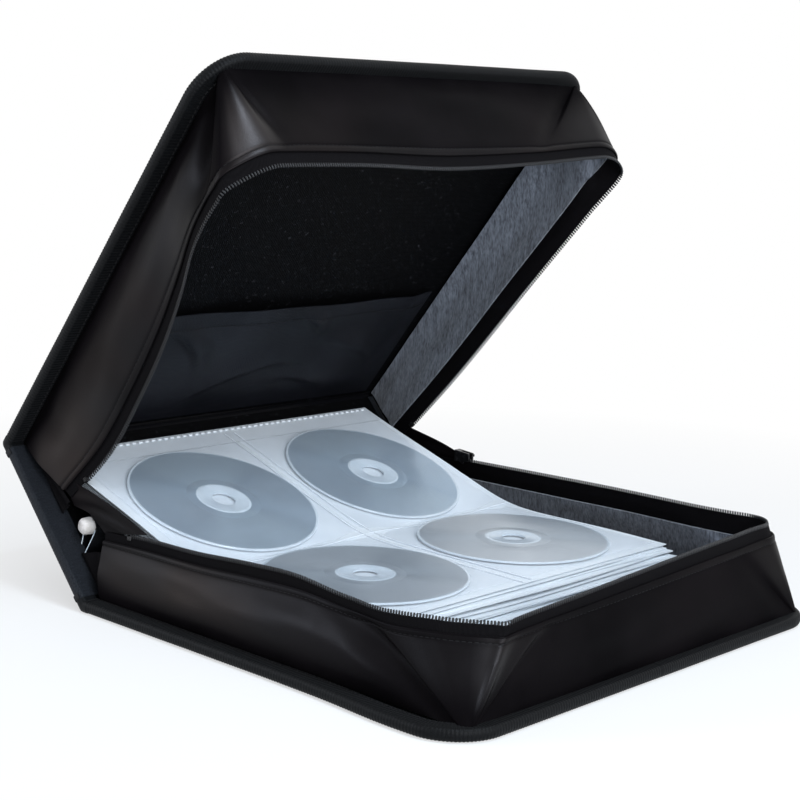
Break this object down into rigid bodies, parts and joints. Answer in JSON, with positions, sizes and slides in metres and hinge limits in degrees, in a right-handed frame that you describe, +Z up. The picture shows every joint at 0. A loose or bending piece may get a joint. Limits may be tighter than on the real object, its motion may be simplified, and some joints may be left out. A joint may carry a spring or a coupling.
{
  "type": "media storage case",
  "caption": "Zip-round media case, standing open: base, spine and lid on fold hinges, soft walls with pinched corners, a lid pocket and bound disc sleeves.",
  "frame": {"origin": "centre of the base's underside", "axes": "+X along the hinges, -Y towards the front edge of the base, +Z up"},
  "size_m": [0.332, 0.3802, 0.328],
  "materials": {
    "leatherette": "black grained leatherette, slight sheen",
    "board": "grey pressed board, hidden",
    "lining": "black nylon lining",
    "edge_tape": "black ribbed grosgrain tape",
    "felt": "slate grey felt",
    "zip_tape": "black woven tape",
    "zip_coil": "black nylon coil",
    "zip_metal": "black painted zinc",
    "pocket_nylon": "dark blue-black nylon",
    "vinyl": "glossy black vinyl",
    "rod_plastic": "off-white plastic",
    "sleeve": "translucent white sleeve fabric",
    "film": "clear film",
    "disc": "silver disc, plain face"
  },
  "bodies": {
    "base": {"base_skin": "leatherette", "base_board": "board", "base_lining": "lining", "base_binding": "edge_tape", "base_wall": "leatherette", "base_wall_felt": "felt", "base_zip_tape": "zip_tape", "base_zip_coil": "zip_coil", "base_zip_stops": "zip_metal", "lower_fold": "leatherette"},
    "spine": {"spine_skin": "leatherette", "spine_board": "board", "spine_lining": "vinyl", "spine_near_binding": "edge_tape", "spine_far_binding": "edge_tape", "upper_fold": "leatherette", "binder_rod": "rod_plastic", "rod_hem": "vinyl", "near_gusset": "leatherette", "far_gusset": "leatherette"},
    "lid": {"lid_skin": "leatherette", "lid_board": "board", "lid_lining": "lining", "lid_binding": "edge_tape", "lid_wall": "leatherette", "lid_wall_felt": "felt", "lid_zip_tape": "zip_tape", "lid_zip_coil": "zip_coil", "lid_zip_stops": "zip_metal", "lid_pocket": "pocket_nylon", "lid_pocket_hem": "edge_tape"},
    "sleeve_bundle_1": {"sleeves_1": "sleeve"},
    "sleeve_bundle_2": {"sleeves_2": "sleeve"},
    "sleeve_bundle_3": {"sleeves_3": "sleeve"},
    "sleeve_bundle_4": {"sleeves_4": "sleeve"},
    "sleeve_bundle_5": {"sleeves_5": "sleeve"},
    "leaf": {"leaf_sheet": "sleeve", "leaf_pockets": "film", "disc_1": "disc", "disc_2": "disc", "disc_3": "disc", "disc_4": "disc"},
    "slider": {"zip_slider": "zip_metal"},
    "pull": {"zip_pull": "zip_metal"}
  },
  "joints": [
    {"name": "spine_hinge", "type": "hinge", "parent": "base", "child": "spine", "pos_m": [0, 0.1495, 0.0034], "axis": [-1, 0, 0], "range_deg": [-42.3, 8]},
    {"name": "lid_hinge", "type": "hinge", "parent": "spine", "child": "lid", "pos_m": [0, 0.2269, 0.08846], "axis": [-1, 0, 0], "range_deg": [-10.15, 79.85], "deforming": ["near_gusset", "far_gusset"]},
    {"name": "sleeves_1_shift", "type": "slide", "parent": "base", "child": "sleeve_bundle_1", "axis": [0, 1, 0], "range_m": [-0.0072, 0.0015]},
    {"name": "sleeves_2_shift", "type": "slide", "parent": "base", "child": "sleeve_bundle_2", "axis": [0, 1, 0], "range_m": [-0.0131, 0.0026]},
    {"name": "sleeves_3_shift", "type": "slide", "parent": "base", "child": "sleeve_bundle_3", "axis": [0, 1, 0], "range_m": [-0.0301, 0.0058]},
    {"name": "sleeves_4_shift", "type": "slide", "parent": "base", "child": "sleeve_bundle_4", "axis": [0, 1, 0], "range_m": [-0.0533, 0.0102]},
    {"name": "sleeves_5_shift", "type": "slide", "parent": "base", "child": "sleeve_bundle_5", "axis": [0, 1, 0], "range_m": [-0.0622, 0.0119]},
    {"name": "leaf_turn", "type": "hinge", "parent": "sleeve_bundle_5", "child": "leaf", "pos_m": [0, 0.20704, 0.08378], "axis": [-1, 0, 0], "range_deg": [0, 45]},
    {"name": "slider_run", "type": "slide", "parent": "base", "child": "slider", "axis": [0, -1, 0], "range_m": [0, 0.2]},
    {"name": "pull_swing", "type": "hinge", "parent": "slider", "child": "pull", "pos_m": [0.15317, 0.126, 0.0594], "axis": [0, -1, 0], "range_deg": [0, 150]}
  ],
  "couplings": [
    {"joint": "sleeves_1_shift", "follows": "spine_hinge", "m_per_rad": 0.0095},
    {"joint": "sleeves_2_shift", "follows": "spine_hinge", "m_per_rad": 0.0176},
    {"joint": "sleeves_3_shift", "follows": "spine_hinge", "m_per_rad": 0.0406},
    {"joint": "sleeves_4_shift", "follows": "spine_hinge", "m_per_rad": 0.072},
    {"joint": "sleeves_5_shift", "follows": "spine_hinge", "m_per_rad": 0.084}
  ]
}
